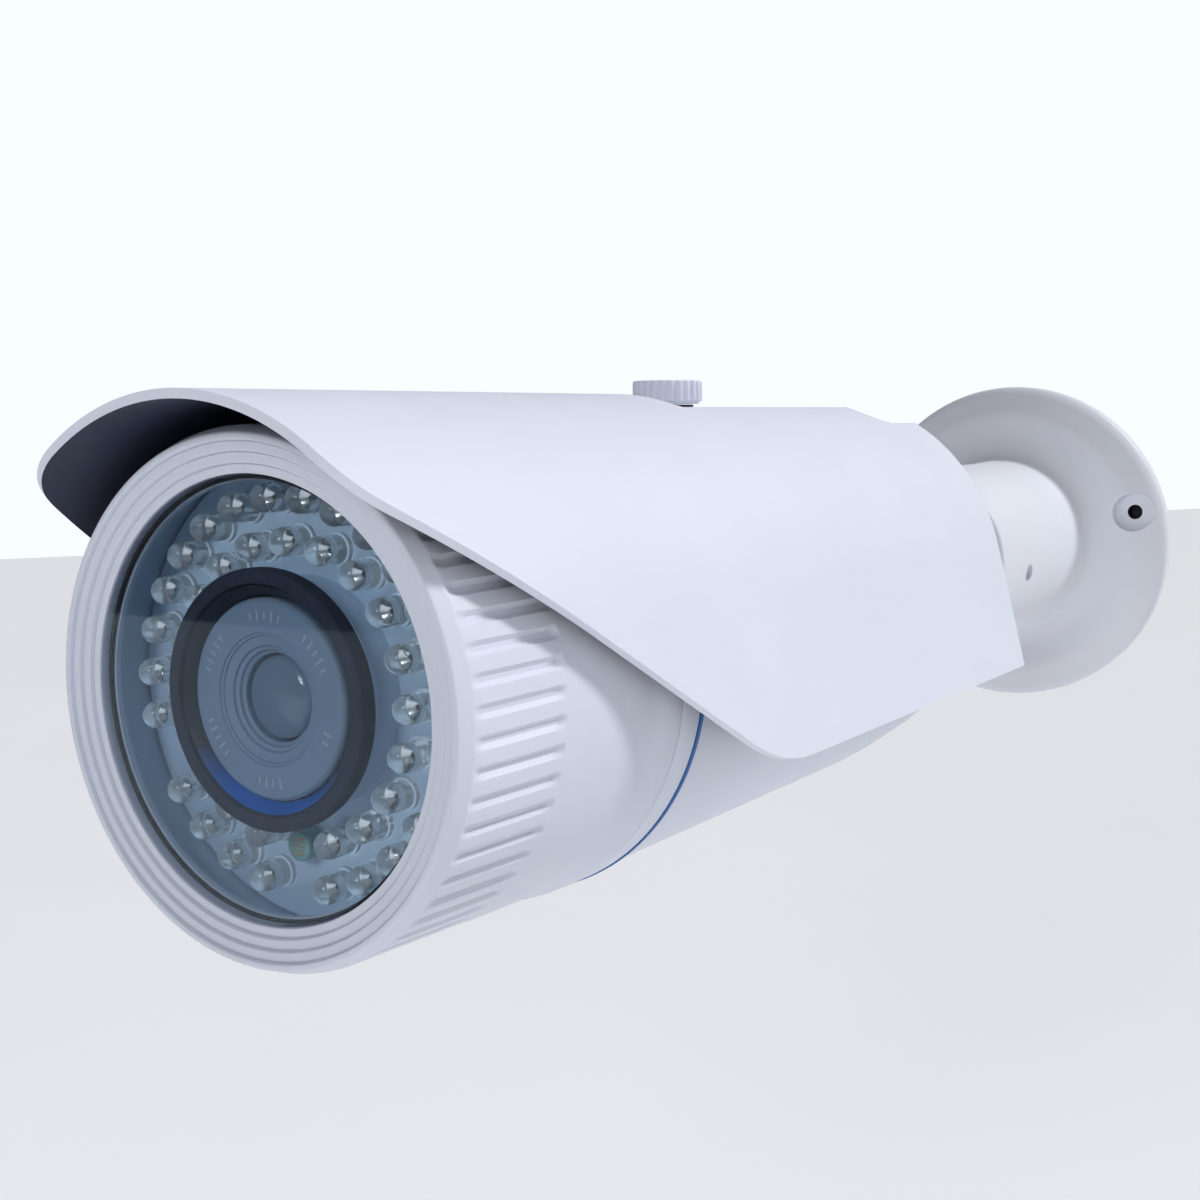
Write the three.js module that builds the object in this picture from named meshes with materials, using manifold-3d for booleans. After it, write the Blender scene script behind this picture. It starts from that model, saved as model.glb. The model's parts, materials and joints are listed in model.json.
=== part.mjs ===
// Bullet security camera on a round wall bracket, with a sliding sunshade.
//
// Frame: millimetres, +Z up. The origin is the centre of the bracket flange's back face, on the
// wall. The wall's outward normal is -Y, so the camera looks along -Y and its axis is the Y axis.
// Places along the axis are "stations": the distance behind the bezel's front edge.

import * as THREE from "three";
import { mergeVertices } from "three/addons/utils/BufferGeometryUtils.js";
import Module from "manifold-3d";

const wasm = await Module();
wasm.setup();

// ---- driving dimensions -------------------------------------------------------------------
const REACH = 380;            // bezel's front edge to the wall
const GAP = 0.3;              // kept between neighbouring pieces

const BEZEL_R = 44;           // bezel's front edge radius (88 mm housing)
const LIP_R = 37.4;           // clear opening in the bezel
const BORE_R = 41;            // inside of the front barrel
const SEAM = 60.3;            // rear end of the front barrel
const SEAL_FRONT = 67.5;      // blue seal ring
const SEAL_THICK = 0.9;
const HOUSING_R = 47.1;       // rear housing
const HOUSING_BORE = 44.2;
const HOUSING_END = 226;
const TAIL_END = 238;
const RIB_COUNT = 60;

const GLASS_FRONT = 2.4;      // window, set into the bezel from the front
const GLASS_BACK = 3.6;
const SEAT = 4.8;             // shoulder behind the window, with the gasket between them
const LED_FACE = 15.7;        // front face of the LED board
const LED_R = 2.5;
const OUTER_RING_R = 33.2;    // LED ring radii
const INNER_RING_R = 25.8;
const LENS_R = 17;            // lens trim disc

const SHADE_R = 50.8;         // sunshade's outer radius
const SHADE_THICK = 1.6;
const SHADE_FRONT = -12.5;    // stations of its ends
const SHADE_REAR = 220;
const NOTCH_FRONT = 196;      // round-cornered notch in the middle of its rear edge
const NOTCH_HALF = 26;
const NOTCH_CORNER = 10;
const SHADE_FLARE = 14;       // degrees below which the arc runs on as a straight side
const SHADE_LOW = -19.2;      // height of its lower edges
const LAND_Z = 47.8;          // flat sunk land on top, under the thumb screw
const LAND_FRONT = 112;
const KNOB_AT = 135;          // station of the thumb screw
const SLOT_END = 164;         // slot's rear end in the land
const SLOT_HALF = 2.8;
const LAND_THICK = 1.5;
const FLAT_FRONT = 84;        // flat on the rear housing, on which the land slides

const TILT_AT = 267;          // station of the tilt bolt
const ARM_SHOULDER = 280;
const HUB_FRONT = 285;
const HUB_R = 29;
const FLANGE_R = 55.3;
const FLANGE_FACE = 369;      // front face of the flange's inner annulus
const SCREW_CIRCLE_R = 46.3;  // three wall screws
const SCREW_ANGLES = [15, 135, 255];

const SEAT_FLOOR = 373.4;     // bottom of their counterbores
const SET_SCREW_AT = 310.5;
const SET_SCREW_TURN = -8.7;  // degrees from +X towards +Z

const DEG = Math.PI / 180;
const station = (s) => s - REACH;

// ---- materials ----------------------------------------------------------------------------
const finish = (color, roughness, metalness = 0) =>
  new THREE.MeshStandardMaterial({ color, roughness, metalness });
const WHITE = finish(0xdfe1ee, 0.45);
const BEZEL = finish(0xc3c8d8, 0.5);
const BRACKET = finish(0xccd0dc, 0.5);
const BLACK = finish(0x15161a, 0.7);
const FOAM = finish(0x2a3346, 0.9);
const BLUE = finish(0x2a66b0, 0.4);
const LENS_GREY = finish(0x4c5b70, 0.4);
const STEEL = finish(0x9a9ca2, 0.35, 0.9);
const BRASS = finish(0xb08d4a, 0.4, 0.9);
const ALU = finish(0xa7abb3, 0.45, 0.8);
const BOARD = finish(0x2f6b4a, 0.6);
const CHIP = finish(0x1c1d20, 0.6);
const LED = finish(0xd5dde2, 0.15);
const CELL = finish(0x6aa0a4, 0.5);
const GLASS = new THREE.MeshStandardMaterial({
  color: 0xb9ccd8, roughness: 0.05, transparent: true, opacity: 0.35 });

const model = new THREE.Group();
function add(name, geometry, material) {
  const mesh = new THREE.Mesh(geometry, material);
  mesh.name = name;
  model.add(mesh);
}

// ---- shape helpers ------------------------------------------------------------------------
// A ring or disc about the camera's axis, from [radius, station] points round its section.
function turned(section, segments = 40) {
  const points = section.map(([r, s]) => new THREE.Vector2(r, station(s)));
  const onAxis = section[0][0] === 0 && section.at(-1)[0] === 0;
  if (THREE.ShapeUtils.area(points) < 0) points.reverse();
  if (!onAxis) points.push(points[0].clone());
  return new THREE.LatheGeometry(points, segments);
}

function tube(inner, outer, from, to, segments = 40) {
  return turned([[outer, from], [outer, to], [inner, to], [inner, from]], segments);
}

function disc(radius, from, to, segments = 40) {
  return turned([[0, from], [radius, from], [radius, to], [0, to]], segments);
}

// A box from its low and high corners, each [x, station, z].
function block(low, high) {
  const size = high.map((value, i) => value - low[i]);
  const middle = high.map((value, i) => (value + low[i]) / 2);
  return new THREE.BoxGeometry(...size).translate(middle[0], station(middle[1]), middle[2]);
}

// A round bar along X or Z.
function bar(axis, radius, from, to, [u, s, v], segments = 20) {
  const geometry = new THREE.CylinderGeometry(radius, radius, to - from, segments);
  if (axis === "x") geometry.rotateZ(-Math.PI / 2).translate((from + to) / 2, station(s), v);
  else geometry.rotateX(Math.PI / 2).translate(u, station(s), (from + to) / 2);
  return geometry;
}

// A round bar along Y, off the axis.
function post(radius, from, to, x, z, segments = 16) {
  return new THREE.CylinderGeometry(radius, radius, to - from, segments)
    .translate(x, station((from + to) / 2), z);
}

// An outline in [x, z] run along the camera's axis between two stations.
function alongAxis(shape, from, to) {
  return new THREE.ExtrudeGeometry(shape, { depth: to - from, bevelEnabled: false, curveSegments: 24 })
    .rotateX(Math.PI / 2).translate(0, station(to), 0);
}

// An outline in [station, z] run across the camera from x = from to x = to.
function across(shape, from, to) {
  return new THREE.ExtrudeGeometry(shape, { depth: to - from, bevelEnabled: false, curveSegments: 12 })
    .rotateX(Math.PI / 2).rotateZ(Math.PI / 2).translate(from, -REACH, 0);
}

function outline(points) {
  return new THREE.Shape(points.map(([a, b]) => new THREE.Vector2(a, b)));
}

function solid(geometry) {
  const bare = geometry.clone();
  bare.deleteAttribute("normal");
  bare.deleteAttribute("uv");
  const merged = mergeVertices(bare, 1e-4);
  const index = merged.index.array;
  const corners = [];
  for (let i = 0; i < index.length; i += 3) {
    const [a, b, c] = [index[i], index[i + 1], index[i + 2]];
    if (a !== b && b !== c && c !== a) corners.push(a, b, c);
  }
  return new wasm.Manifold(new wasm.Mesh({
    numProp: 3,
    vertProperties: new Float32Array(merged.attributes.position.array),
    triVerts: new Uint32Array(corners),
  }));
}

function shaped(body) {
  const mesh = body.getMesh();
  const geometry = new THREE.BufferGeometry();
  geometry.setAttribute("position", new THREE.BufferAttribute(mesh.vertProperties, 3));
  geometry.setIndex(new THREE.BufferAttribute(mesh.triVerts, 1));
  return geometry;
}

const cut = (body, ...tools) => tools.reduce((left, tool) => left.subtract(solid(tool)), body);
const join = (body, ...others) => others.reduce((sum, other) => sum.add(solid(other)), body);

// Turns a geometry about the camera's axis, so that what stood at angle 0 (+X) stands at
// the angle given, measured from +X towards +Z.
const swung = (geometry, degrees) => geometry.rotateY(-degrees * DEG);

// ---- front barrel and window --------------------------------------------------------------
// The face steps inwards and back in four lands; the barrel widens slightly to the seam.
function frontBezel() {
  const landEdges = [42.6, 40.8, 38.9];
  const landDrop = 0.7;
  const lands = [[BEZEL_R - 0.8, 0]];
  landEdges.forEach((r, i) => lands.push([r + 0.1, i * landDrop], [r - 0.1, (i + 1) * landDrop]));
  const section = [
    [LIP_R, landEdges.length * landDrop], ...lands.reverse(), [BEZEL_R, 0.8], [45, 3], [46.6, 50],
    [47.5, 56], [47.6, SEAM], [BORE_R, SEAM], [BORE_R, 10], [36.3, 6], [36.3, SEAT], [LIP_R, SEAT],
  ];
  const ribFrom = 3.5;
  const ribTo = 26;
  let body = solid(turned(section, RIB_COUNT));
  for (let i = 0; i < RIB_COUNT; i += 1) {
    const groove = block([44.5, ribFrom, -0.8], [49, ribTo, 0.8]);
    body = cut(body, swung(groove, (i + 0.5) * 360 / RIB_COUNT));
  }
  add("front_bezel", shaped(body), BEZEL);
}

function frontWindow() {
  const rim = LIP_R - GAP;
  add("window_glass", disc(rim, GLASS_FRONT, GLASS_BACK, RIB_COUNT), GLASS);
  add("window_gasket", tube(36.5, rim, GLASS_BACK + GAP, SEAT - GAP, RIB_COUNT), BLACK);
}

function barrelJoint() {
  add("clamp_band", tube(43.6, 47.6, SEAM + GAP, SEAL_FRONT - GAP), WHITE);
  add("seal_ring", tube(43.6, 47.85, SEAL_FRONT, SEAL_FRONT + SEAL_THICK), BLUE);
}

// ---- rear housing and tail ----------------------------------------------------------------
function rearHousing() {
  const front = SEAL_FRONT + SEAL_THICK + GAP;
  const section = [
    [41.4, SEAM + GAP], [43.2, SEAM + GAP], [43.2, front], [46.7, front],
    [HOUSING_R, front + 0.7], [HOUSING_R, 183], [45.6, 205], [44.1, 218], [42.7, HOUSING_END],
    [38, HOUSING_END], [38, 218], [41, 216], [42.5, 205], [HOUSING_BORE, 190],
    [HOUSING_BORE, front + 4], [41.4, front + 1],
  ];
  const flat = LAND_Z - LAND_THICK - GAP;
  const body = cut(solid(turned(section)),
    block([-20, FLAT_FRONT, flat], [20, HOUSING_END + 1, HOUSING_R + 1]),
    bar("z", 4.5, 38, 49, [0, KNOB_AT, 0]));
  add("rear_housing", shaped(body), WHITE);
  const insert = cut(solid(bar("z", 4.2, 42.2, flat - 0.2, [0, KNOB_AT, 0])),
    bar("z", 2.6, 41, 48, [0, KNOB_AT, 0]));
  add("thread_insert", shaped(insert), BRASS);
}

const BOSS_R = 22;
const BOSS_END = 244;
function tailCap() {
  const plugFrom = 219;
  add("tail_cap", turned([
    [8, 227], [31, 227], [33, plugFrom], [37.7, plugFrom], [37.7, HOUSING_END + GAP],
    [42.5, HOUSING_END + GAP], [40.9, 230], [37.6, 233.6], [32.5, 236.4], [27.5, TAIL_END], [BOSS_R, TAIL_END],
    [BOSS_R, BOSS_END], [8, BOSS_END],
  ]), WHITE);
  add("cable_gland", turned([
    [3.2, 220], [10.5, 220], [10.5, 227 - GAP], [7.6, 227 - GAP], [7.6, BOSS_END - 2],
    [5.5, BOSS_END], [3.2, BOSS_END],
  ], 24), BLACK);
}

// ---- sunshade -----------------------------------------------------------------------------
// Half of the shade's section on the +X side, from the top down, at a radius; "low" is its
// lower edge. The arc runs on along its own tangent from the flare angle down.
function shadeSide(radius, low, steps = 22) {
  const points = [];
  for (let i = 0; i <= steps; i += 1) {
    const angle = (90 - (90 - SHADE_FLARE) * i / steps) * DEG;
    points.push([radius * Math.cos(angle), radius * Math.sin(angle)]);
  }
  const [x, z] = points.at(-1);
  points.push([x + (z - low) * Math.tan(SHADE_FLARE * DEG), low]);
  return points;
}

const mirrored = (points) => points.map(([x, z]) => [-x, z]).reverse();

function shadeSection() {
  const outer = shadeSide(SHADE_R, SHADE_LOW);
  const inner = shadeSide(SHADE_R - SHADE_THICK, SHADE_LOW);
  const over = [...mirrored(outer), ...outer.slice(1)];
  const under = [...mirrored(inner), ...inner.slice(1)].reverse();
  return outline([...over, ...under]);
}

// The part of the shade's round section above a level.
function topSegment(level) {
  const half = Math.acos(level / SHADE_R);
  const shape = new THREE.Shape();
  shape.absarc(0, 0, SHADE_R, Math.PI / 2 - half, Math.PI / 2 + half, false);
  return shape;
}

// What the slanting front cut takes away: from the front edge, down the slant to a rounded
// corner, and along the lower edge.
function shadeFrontCut() {
  const slope = 0.6;
  const cornerZ = 37;
  const slantAt = (z) => SHADE_FRONT + (cornerZ - z) / slope;
  const shape = new THREE.Shape();
  shape.moveTo(SHADE_FRONT - 5, cornerZ + 5);
  shape.lineTo(SHADE_FRONT, cornerZ + 5);
  shape.quadraticCurveTo(SHADE_FRONT, cornerZ, slantAt(cornerZ - 4), cornerZ - 4);
  shape.lineTo(slantAt(-13.2), -13.2);
  shape.quadraticCurveTo(slantAt(SHADE_LOW), SHADE_LOW, slantAt(SHADE_LOW) + 12, SHADE_LOW);
  shape.lineTo(slantAt(SHADE_LOW) + 12, SHADE_LOW - 5);
  shape.lineTo(SHADE_FRONT - 5, SHADE_LOW - 5);
  return shape;
}

function sunshade() {
  const landUnder = LAND_Z - LAND_THICK;
  let body = solid(alongAxis(shadeSection(), SHADE_FRONT, SHADE_REAR));
  body = cut(body, across(shadeFrontCut(), -80, 80));
  body = cut(body, alongAxis(topSegment(landUnder), LAND_FRONT, SHADE_REAR + 1));
  const landHalf = Math.sqrt(SHADE_R ** 2 - LAND_Z ** 2);
  body = join(body,
    block([-landHalf, LAND_FRONT - 1, landUnder], [landHalf, SHADE_REAR, LAND_Z]),
    alongAxis(topSegment(landUnder), LAND_FRONT - 1.5, LAND_FRONT));
  const slotFrom = KNOB_AT - 4.5;
  body = cut(body,
    block([-SLOT_HALF, slotFrom, 40], [SLOT_HALF, SLOT_END - SLOT_HALF, 55]),
    bar("z", SLOT_HALF, 40, 55, [0, slotFrom, 0], 16),
    bar("z", SLOT_HALF, 40, 55, [0, SLOT_END - SLOT_HALF, 0], 16));
  const cornerX = NOTCH_HALF - NOTCH_CORNER;
  const cornerAt = NOTCH_FRONT + NOTCH_CORNER;
  body = cut(body,
    block([-NOTCH_HALF, cornerAt, 40], [NOTCH_HALF, SHADE_REAR + 1, 55]),
    block([-cornerX, NOTCH_FRONT, 40], [cornerX, cornerAt + 1, 55]),
    bar("z", NOTCH_CORNER, 40, 55, [-cornerX, cornerAt, 0], 24),
    bar("z", NOTCH_CORNER, 40, 55, [cornerX, cornerAt, 0], 24));
  add("sunshade", shaped(body), WHITE);
}

function thumbScrew() {
  const top = 54;
  const seat = LAND_Z + 0.9;
  const fluteCount = 24;
  let knob = solid(bar("z", 8, seat, top, [0, KNOB_AT, 0], 24));
  for (let i = 0; i < fluteCount; i += 1) {
    const angle = i * 2 * Math.PI / fluteCount;
    const place = [8.25 * Math.cos(angle), KNOB_AT + 8.25 * Math.sin(angle), 0];
    knob = cut(knob, bar("z", 0.6, seat + 0.8, top + 1, place, 6));
  }
  knob = cut(knob, bar("z", 2.7, seat - 1, seat + 2.5, [0, KNOB_AT, 0]));
  add("thumb_knob", shaped(knob), WHITE);
  add("thumb_stud", bar("z", 2.3, 41.8, seat + 2.2, [0, KNOB_AT, 0]), STEEL);
  const washer = cut(solid(bar("z", 6, LAND_Z + 0.2, LAND_Z + 0.7, [0, KNOB_AT, 0], 24)),
    bar("z", 2.6, LAND_Z - 1, LAND_Z + 2, [0, KNOB_AT, 0]));
  add("knob_washer", shaped(washer), BLACK);
}

// ---- LED board, LEDs and light sensor -----------------------------------------------------
// A ring of round-nosed LEDs joined by the thin spacer that they stand in.
function ledRing(name, radius, angles) {
  let body = solid(tube(radius - 1.6, radius + 1.6, LED_FACE - 0.8, LED_FACE - GAP, 27));
  for (const angle of angles) {
    const x = radius * Math.cos(angle * DEG);
    const z = radius * Math.sin(angle * DEG);
    const nose = [];
    for (let k = 0; k <= 2; k += 1) {
      const bend = k * Math.PI / 4;
      nose.push(new THREE.Vector2(LED_R * Math.sin(bend), -LED_R * Math.cos(bend)));
    }
    nose.push(new THREE.Vector2(LED_R, 5), new THREE.Vector2(0, 5));
    const led = new THREE.LatheGeometry(nose, 7).translate(x, station(LED_FACE - GAP) - 5, z);
    body = join(body, led);
  }
  add(name, shaped(body), LED);
}

// Degrees from +X towards +Z. The outer ring leaves two gaps for the board's screws and a
// wider one at the bottom; the two sides mirror each other.
function outerAngles() {
  const left = [];
  for (let i = 0; i < 8; i += 1) left.push(97 + 13.43 * i);
  for (let i = 0; i < 4; i += 1) left.push(215.5 + 13.9 * i);
  return [...left, ...left.map((angle) => 180 - angle)];
}

// Twenty places, of which the lowest is the light sensor's and one is empty.
function innerAngles() {
  const angles = [];
  for (let i = 1; i < 20; i += 1) if (i !== 16) angles.push(-90 + 18 * i);
  return angles;
}

function ledBoard() {
  const board = cut(solid(tube(19.6, 40.4, LED_FACE, LED_FACE + 1.6)),
    ...standoffPlaces().map(([x, z]) => post(1.2, LED_FACE - 1, LED_FACE + 3, x, z, 12)));
  add("led_board", shaped(board), BOARD);
  ledRing("leds_outer", OUTER_RING_R, outerAngles());
  ledRing("leds_inner", INNER_RING_R, innerAngles());
  const cell = cut(solid(post(2.7, 11.5, LED_FACE - 1.1, 0, -INNER_RING_R - 0.4, 20)),
    block([-1.6, 11, -INNER_RING_R - 0.7], [1.6, 11.9, -INNER_RING_R - 0.1]));
  add("light_sensor", shaped(cell), CELL);
}

// ---- lens ---------------------------------------------------------------------------------
function lens() {
  add("lens_shroud", turned([[19.4, GLASS_BACK + GAP], [22, GLASS_BACK + GAP], [22, 7.2], [20, 9.8],
    [20, LED_FACE - 1.2], [18, LED_FACE - 1.2], [18, 9.6], [19.4, 9.6]], 36), FOAM);
  add("lens_color_ring", turned([[17.3, 6.6], [19.1, 4.6], [19.1, 9], [17.3, 9]], 36), BLUE);
  add("lens_trim_disc", turned([[7.5, 7.9], [9.5, 6.3], [12, 5.9], [12.1, 5.4],
    [LENS_R, 5.4], [LENS_R, 8.1], [12, 8.1], [12, 10.5], [7.5, 10.5]], 36), LENS_GREY);
  add("lens_element", turned([[0, 6.8], [3, 7.1], [5.4, 8], [7.1, 9.2], [7.1, 10.3], [0, 10.3]], 28),
    GLASS);
  add("lens_barrel", turned([[5, 10.8], [9, 10.8], [9, 14], [6, 14.3], [6, 24], [4, 24], [4, 16]], 28),
    BLACK);
  const bore = 6.3;
  const holder = join(solid(tube(bore, 9.5, 15, 24.6, 28)), block([-13, 22, -11], [13, 24.6, 11]));
  add("lens_holder", shaped(cut(holder, disc(bore, 14, 26, 28))), BLACK);
}

// A window frame with a slot across it, in which the filter slides between its two stops.
function infraredCut() {
  const frame = cut(solid(block([-13, 24.9, -11], [13, 28.6, 11])),
    block([-11.5, 26, -5], [11.5, 27.4, 5]), disc(4.2, 24, 29, 24),
    block([-11.5, 26, 4.9], [-9, 29, 6.5]));
  add("filter_frame", shaped(frame), BLACK);
  add("infrared_filter", block([-11.2, 26.3, -4.6], [3.8, 27.1, 4.6]), GLASS);
}

function sensorBoard() {
  add("image_sensor", block([-5.5, 28.9, -4.5], [5.5, 30.1, 4.5]), CHIP);
  const board = cut(solid(block([-19, 30.4, -19], [19, 32, 19])),
    ...standoffPlaces().map(([x, z]) => post(1.2, 29, 34, x, z, 12)));
  add("sensor_board", shaped(board), BOARD);
  standoffPlaces().forEach(([x, z], i) => {
    add(`board_standoff_${i + 1}`, post(2.2, LED_FACE + 1.9, 30.1, x, z, 12), BRASS);
  });
}

function standoffPlaces() {
  return [[16, 16], [-16, 16], [-16, -16], [16, -16]];
}

// ---- electronics in the rear housing ------------------------------------------------------
const TRAY_Z = -20;
function electronics() {
  const plate = join(solid(block([-35.6, 32.3, TRAY_Z], [35.6, 205, TRAY_Z + 1.5])),
    block([-22, 32.3, TRAY_Z], [22, 33.8, TRAY_Z + 40]),
    block([-22, 203.5, TRAY_Z], [22, 205, TRAY_Z + 12]));
  const openings = [block([-9, 31, -9], [9, 35, 9])];
  for (let i = 0; i < 3; i += 1) {
    openings.push(block([-16, 60 + i * 45, TRAY_Z - 1], [16, 80 + i * 45, TRAY_Z + 2]));
  }
  add("chassis_tray", shaped(cut(plate, ...openings)), ALU);
  add("main_board", block([-24, 44, TRAY_Z + 7], [24, 128, TRAY_Z + 8.6]), BOARD);
  add("power_board", block([-22, 136, TRAY_Z + 7], [22, 196, TRAY_Z + 8.6]), BOARD);
  let sink = solid(block([-13, 70, TRAY_Z + 10], [13, 96, TRAY_Z + 12.5]));
  for (let i = 0; i < 6; i += 1) {
    const x = -13 + i * 4.9;
    sink = join(sink, block([x, 70, TRAY_Z + 12], [x + 1.5, 96, TRAY_Z + 19]));
  }
  add("heat_sink", shaped(sink), ALU);
  add("processor", block([-8, 75, TRAY_Z + 8.9], [8, 91, TRAY_Z + 9.7]), CHIP);
  const socket = cut(solid(block([-8, 108, TRAY_Z + 8.9], [8, 126, TRAY_Z + 22])),
    block([-6, 112, TRAY_Z + 11], [6, 127, TRAY_Z + 19]));
  add("network_socket", shaped(socket), STEEL);
  add("capacitor", bar("z", 6, TRAY_Z + 8.9, TRAY_Z + 28, [0, 160, 0], 24), CHIP);
  const feet = [[-20, 48], [20, 48], [-20, 124], [20, 124], [-18, 140], [18, 192]];
  feet.forEach(([x, s], i) => {
    add(`board_spacer_${i + 1}`, bar("z", 2.2, TRAY_Z + 1.8, TRAY_Z + 6.7, [x, s, 0], 12), BRASS);
  });
}

// ---- wall bracket -------------------------------------------------------------------------
function rollJoint() {
  const grips = 20;
  let ring = solid(turned([[BOSS_R + 0.4, TAIL_END + 0.6], [26.5, TAIL_END + 0.6], [26.5, 251.5],
    [25, 253], [17.6, 253], [17.6, 249.9], [BOSS_R + 0.4, 249.9]]));
  for (let i = 0; i < grips; i += 1) {
    ring = cut(ring, swung(block([25.8, 240.5, -0.9], [28, 250.5, 0.9]), i * 360 / grips));
  }
  add("roll_lock_ring", shaped(ring), WHITE);
}

// Two ears each side of the tilt bolt, as one outline in [station, z].
function earOutline(radius, rootAt, rootHalf) {
  const ahead = rootAt < TILT_AT;
  const shape = new THREE.Shape();
  shape.moveTo(rootAt, -rootHalf);
  shape.lineTo(TILT_AT, -radius);
  shape.absarc(TILT_AT, 0, radius, -Math.PI / 2, Math.PI / 2, !ahead);
  shape.lineTo(rootAt, rootHalf);
  return shape;
}

const EAR_R = 10.5;
function knuckleFork() {
  let fork = solid(tube(8, 21.8, BOSS_END + GAP, 249.6, 36));
  fork = join(fork, tube(8, 17.2, 249, 255.5, 36));
  for (const x of [-16.8, 11.2]) fork = join(fork, across(earOutline(EAR_R, 253.4, 11), x, x + 5.6));
  fork = cut(fork, bar("x", 3.2, -20, 20, [0, TILT_AT, 0], 16));
  add("knuckle_fork", shaped(fork), BRACKET);
  const bolt = join(solid(bar("x", 2.9, -19.5, 17.5, [0, TILT_AT, 0])),
    bar("x", 5.2, 17.1, 20.6, [0, TILT_AT, 0]));
  add("tilt_bolt", shaped(cut(bolt, bar("x", 2.3, 18.6, 22, [0, TILT_AT, 0], 6))), STEEL);
  const nut = cut(solid(bar("x", 5.4, -20.6, -17.1, [0, TILT_AT, 0], 6)),
    bar("x", 3.2, -22, -16, [0, TILT_AT, 0]));
  add("tilt_nut", shaped(nut), STEEL);
}

const SPIGOT_R = 17.5;
function bracketArm() {
  const bore = 9;
  let arm = solid(tube(bore, 19, ARM_SHOULDER, HUB_FRONT - 0.4, 36));
  arm = join(arm, tube(bore, SPIGOT_R, HUB_FRONT - 1, 371, 36), tube(bore, 14, 370, 375.4, 36));
  for (const x of [-10.9, 5.3]) {
    arm = join(arm, across(earOutline(EAR_R, ARM_SHOULDER + 1, EAR_R), x, x + 5.6));
  }
  arm = cut(arm, bar("x", 3.2, -20, 20, [0, TILT_AT, 0], 16));
  add("bracket_arm", shaped(arm), BRACKET);
  add("arm_retainer", tube(14.3, 21, 371.5, 374.8, 40), STEEL);
}

function wallFlange() {
  let flange = solid(turned([
    [18.1, HUB_FRONT], [27.8, HUB_FRONT], [HUB_R, HUB_FRONT + 1.4], [HUB_R, 356],
    [30.2, 363], [32, 366.6], [35.5, FLANGE_FACE], [45.4, FLANGE_FACE + 0.4], [53.6, 374.2],
    [FLANGE_R, 376.5], [FLANGE_R, REACH], [38, REACH], [38, 375.6], [30, 371.2], [18.1, 371.2],
  ], 48));
  for (const angle of SCREW_ANGLES) {
    const x = SCREW_CIRCLE_R * Math.cos(angle * DEG);
    const z = SCREW_CIRCLE_R * Math.sin(angle * DEG);
    flange = cut(flange, post(6.5, 360, SEAT_FLOOR, x, z, 20), post(2.5, 360, 385, x, z, 12));
  }
  const screwAt = (r, from, to) =>
    swung(bar("x", r, from, to, [0, SET_SCREW_AT, 0], 20), SET_SCREW_TURN);
  flange = cut(flange, screwAt(2.9, 10, 40));
  add("wall_flange", shaped(flange), BRACKET);
  const hexSocket = swung(bar("x", 1.5, 22.5, 28, [0, SET_SCREW_AT, 0], 6), SET_SCREW_TURN);
  add("pan_set_screw", shaped(cut(solid(screwAt(2.6, 18.3, 25.2)), hexSocket)), STEEL);
}

frontBezel();
frontWindow();
barrelJoint();
rearHousing();
tailCap();
sunshade();
thumbScrew();
ledBoard();
lens();
infraredCut();
sensorBoard();
electronics();
rollJoint();
knuckleFork();
bracketArm();
wallFlange();

export default model;
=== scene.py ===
"""A white bullet security camera on a round wall bracket: its looks, built round the CAD frame.

Lengths are millimetres until they reach a mesh. A place along the camera's axis is a "station":
the distance behind the front edge of the bezel. An angle is measured round that axis, from +X
towards +Z.
"""

import json
import math

import bmesh
import bpy
from mathutils import Matrix, Vector


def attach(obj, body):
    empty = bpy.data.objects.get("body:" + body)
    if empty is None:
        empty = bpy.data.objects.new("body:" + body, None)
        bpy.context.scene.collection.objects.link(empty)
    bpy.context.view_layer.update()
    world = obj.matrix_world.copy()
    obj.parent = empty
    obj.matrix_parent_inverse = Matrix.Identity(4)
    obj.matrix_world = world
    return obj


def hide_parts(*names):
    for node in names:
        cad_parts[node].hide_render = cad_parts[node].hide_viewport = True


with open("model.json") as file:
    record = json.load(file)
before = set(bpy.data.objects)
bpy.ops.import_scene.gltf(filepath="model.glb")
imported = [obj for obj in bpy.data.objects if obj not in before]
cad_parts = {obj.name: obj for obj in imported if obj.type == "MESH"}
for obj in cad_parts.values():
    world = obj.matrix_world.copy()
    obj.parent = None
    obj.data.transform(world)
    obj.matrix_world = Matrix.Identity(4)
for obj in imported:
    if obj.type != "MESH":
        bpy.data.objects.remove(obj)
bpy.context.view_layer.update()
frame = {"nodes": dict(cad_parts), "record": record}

MM = 0.001
TAU = 2 * math.pi
REACH = 380  # front edge of the bezel to the wall

BEZEL_R = 44
LIP_R = 37.4
SEAM = 60.3
SEAL_FRONT = 67.5
HOUSING_R = 47.1
HOUSING_END = 226
TAIL_END = 238
BOSS_END = 244
GLASS_FRONT = 2.4
GLASS_BACK = 3.6
LED_FACE = 15.7
OUTER_RING_R = 33.2
INNER_RING_R = 25.8
SHADE_R = 50.8
SHADE_THICK = 1.6
SHADE_FRONT = -12.5
SHADE_REAR = 220
SHADE_FLARE = 14
SHADE_LOW = -19.2
LAND_Z = 47.8
LAND_FRONT = 112
KNOB_AT = 135
SLOT_END = 164
SLOT_HALF = 2.8
TILT_AT = 267
HUB_FRONT = 285
FLANGE_FACE = 369
SCREW_CIRCLE_R = 46.3
SCREW_ANGLES = (15, 135, 255)
SET_SCREW_AT = 310.5
SET_SCREW_ANGLE = -8.7


# ---- drawing helpers ----------------------------------------------------------------------
def spot(x, station, z):
    return Vector((x, station - REACH, z)) * MM


def around(radius, station, angle):
    return spot(radius * math.cos(angle), station, radius * math.sin(angle))


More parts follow.
